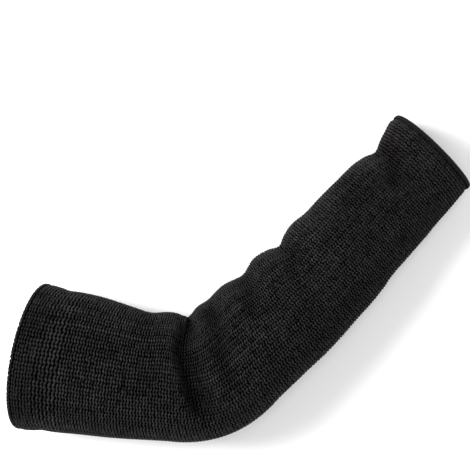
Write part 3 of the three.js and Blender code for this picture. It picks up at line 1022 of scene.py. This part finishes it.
class SLEEVE_OT_welt(Operator):
    """Turns the welt: a ring of the same knit, tighter, up its inside, over the rim and down its face"""

    bl_idname = "sleeve.welt"
    bl_label = "Turn the welt"

    def execute(self, context):
        knit = shared["knit"]
        sizes, wales = knit.sizes, knit.skin.wales
        band = knit.skin.band(WELT_OUTLINE, WELT_ROWS)
        courses = 2 * sizes.welt_courses
        rows = len(band.points) - 1

        def place_of(course, wale, over):
            return band.at(course / courses * rows, wale * COLUMNS_A_WALE, over)

        # The welt keeps part of its tone, and painted shade darkens its rolled rim
        def shade_of(course, wale):
            from_rim = (course + STITCH_MIDDLE - courses / 2) / RIM_REACH
            return WELT_SHADE * (1 - RIM_SHADE * np.exp(-(from_rim**2)))

        course = np.linspace(0, courses, 3 * courses)[:, None]
        ground, _ = place_of(course, knit.ground_wales, -GROUND_SHARE * sizes.stitch_depth)
        ground = on_floor(ground).reshape(-1, 3)
        faces = ring_faces(len(course), knit.ground_wales.size)
        new_piece("welt_ground", ground, [faces], knit.ground, nodes=["upper_arm_welt"])
        points, faces, maps, tones = stitch_legs(
            place_of,
            shade_of,
            np.full((1, 1), WELT_STEEPNESS),
            np.arange(courses),
            np.arange(wales),
            WELT_DEPTH * sizes.stitch_depth,
            WELT_FULLNESS * sizes.fullness,
            WELT_SEED,
        )
        new_piece("stitches_welt", points, faces, knit.yarn, maps=maps, tone=tones)
        return {"FINISHED"}


class SLEEVE_OT_overlock(Operator):
    """Binds the wrist's edge: a thin band, wrapped with slanting thread, and a paler thread along its rim"""

    bl_idname = "sleeve.overlock"
    bl_label = "Bind the wrist"

    def execute(self, context):
        knit = shared["knit"]
        sizes, skin = knit.sizes, knit.skin
        columns = skin.wales * COLUMNS_A_WALE
        binding = skin.band(OVERLOCK_OUTLINE, BINDING_ROWS)
        lining = skin.band(OVERLOCK_LINING, LINING_ROWS).points[::-1, :: COLUMNS_A_WALE // GROUND_COLUMNS_A_WALE]
        row = np.arange(BINDING_ROWS)[:, None]
        face, _ = binding.at(row, knit.ground_wales * COLUMNS_A_WALE, -BAND_SINK * sizes.thread)
        ring = np.concatenate([on_floor(face), lining])
        faces = ring_faces(len(ring), knit.ground_wales.size)
        new_piece("overlock_band", ring.reshape(-1, 3), [faces], knit.ground, nodes=["wrist_overlock"])

        last = BINDING_ROWS - 1
        wrap, place = np.arange(sizes.wraps)[:, None], np.linspace(0.2, last - 0.2, WRAP_PLACES)[None]
        slant = OVERLOCK_SLANT * (place / last - 0.5)
        wobble = np.random.default_rng(WRAP_SEED).normal(0, WRAP_WOBBLE, (sizes.wraps, 1))
        turned = (wrap + wobble + slant) / sizes.wraps * columns
        centres, normals = binding.at(place, turned, -WRAP_SINK * sizes.thread)
        round_edge = np.linalg.norm(np.diff(binding.points[BINDING_ROWS // 2], axis=0), axis=-1).sum()
        wide = WRAP_HALF_WIDTH * float(round_edge) / sizes.wraps
        points, faces = tube_along(centres, normals, wide, WRAP_HALF_HEIGHT * sizes.thread, False)
        new_piece("overlock_wraps", on_floor(points), [faces], knit.thread)

        turn = np.arange(RIM_PLACES_A_WRAP * sizes.wraps)[None] / (RIM_PLACES_A_WRAP * sizes.wraps)
        rim = RIM_ROW + RIM_ZIGZAG * np.sin(turn * TAU * sizes.wraps / 2)
        centres, normals = binding.at(rim, turn * columns, -RIM_SINK * sizes.thread)
        wide, high = RIM_HALF_WIDTH * sizes.thread, RIM_HALF_HEIGHT * sizes.thread
        points, faces = tube_along(centres, normals, wide, high, True)
        new_piece("overlock_rim_thread", on_floor(points), [faces], knit.rim_thread)
        return {"FINISHED"}


FLOOR_REACH = 2.0
WORLD_STRENGTH = 0.4

# Each light's name, place, size and power. The key is low on the inner elbow's side, so the folds cast shade.
LIGHTS = (
    ("key", (-0.55, 1.0, 0.95), 0.6, 34.0),
    ("fill", (0.9, -0.7, 1.4), 1.2, 5.0),
    ("overhead", (0.0, 0.0, 2.2), 1.2, 20.0),
)


class SLEEVE_OT_stage(Operator):
    """Sets the floor, the soft lights and the camera over the sleeve"""

    bl_idname = "sleeve.stage"
    bl_label = "Set the stage"

    def execute(self, context):
        corners = [(x * FLOOR_REACH, y * FLOOR_REACH, 0) for x, y in ((-1, -1), (1, -1), (1, 1), (-1, 1))]
        mesh = bpy.data.meshes.new("floor")
        mesh.from_pydata(corners, [], [(0, 1, 2, 3)])
        mesh.materials.append(floor_material("pale_floor", context.scene.sleeve_colours))
        floor = bpy.data.objects.new("floor", mesh)
        context.scene.collection.objects.link(floor)
        for light in LIGHTS:
            soft_light(*light)
        world = bpy.data.worlds.new("studio")
        world.use_nodes = True
        background = world.node_tree.nodes["Background"]
        background.inputs["Color"].default_value = (1, 1, 1, 1)
        background.inputs["Strength"].default_value = WORLD_STRENGTH
        context.scene.world = world
        context.scene.view_settings.view_transform = "Standard"
        set_camera(context.scene)
        return {"FINISHED"}


def soft_light(name, place, size, power):
    """A square area light that faces the sleeve."""
    data = bpy.data.lights.new(name, "AREA")
    data.size, data.energy = size, power
    light = bpy.data.objects.new(name, data)
    light.location = place
    light.rotation_euler = (-Vector(place)).to_track_quat("-Z", "Y").to_euler()
    bpy.context.scene.collection.objects.link(light)


# The camera stands straight above, turned so that the forearm rises to the right. The picture's scale is set at
# the height where the sleeve's outline is widest.
CAMERA_HEIGHT = 1.0
OUTLINE_HEIGHT = 0.04
METRES_A_PIXEL = 0.00088
PICTURE_PIXELS = 470
FOREARM_TILT = math.radians(46.0)
SENSOR_WIDTH = 36.0
CAMERA_PLACE = (0.0373, 0.0198)


def set_camera(scene):
    """The scene's camera, with the lens that gives the picture its scale."""
    data = bpy.data.cameras.new("camera")
    data.sensor_width = SENSOR_WIDTH
    seen = METRES_A_PIXEL * PICTURE_PIXELS
    data.lens = SENSOR_WIDTH * (CAMERA_HEIGHT - OUTLINE_HEIGHT) / seen
    camera = bpy.data.objects.new("camera", data)
    turn = Matrix.Rotation(-FOREARM_TILT, 4, "Z")
    camera.matrix_world = Matrix.Translation((*CAMERA_PLACE, CAMERA_HEIGHT)) @ turn
    scene.collection.objects.link(camera)
    scene.camera = camera


class SLEEVE_PT_panel(Panel):
    """The sleeve's sizes, colours and steps"""

    bl_label = "Sleeve"
    bl_idname = "SLEEVE_PT_panel"
    bl_space_type = "VIEW_3D"
    bl_region_type = "UI"
    bl_category = "Sleeve"

    def draw(self, context):
        for group in (context.scene.sleeve_sizes, context.scene.sleeve_colours):
            for key in group.__annotations__:
                self.layout.prop(group, key)
        for operator in OPERATORS:
            self.layout.operator(operator.bl_idname)


OPERATORS = (SLEEVE_OT_ground, SLEEVE_OT_stitches, SLEEVE_OT_welt, SLEEVE_OT_overlock, SLEEVE_OT_stage)
CLASSES = (SleeveSizes, SleeveColours, *OPERATORS, SLEEVE_PT_panel)


def register():
    for cls in CLASSES:
        bpy.utils.register_class(cls)
    bpy.types.Scene.sleeve_sizes = PointerProperty(type=SleeveSizes)
    bpy.types.Scene.sleeve_colours = PointerProperty(type=SleeveColours)


def unregister():
    del bpy.types.Scene.sleeve_colours
    del bpy.types.Scene.sleeve_sizes
    for cls in reversed(CLASSES):
        bpy.utils.unregister_class(cls)


def main():
    register()
    bpy.ops.sleeve.ground()
    bpy.ops.sleeve.stitches()
    bpy.ops.sleeve.welt()
    bpy.ops.sleeve.overlock()
    bpy.ops.sleeve.stage()


if __name__ == "__main__":
    main()
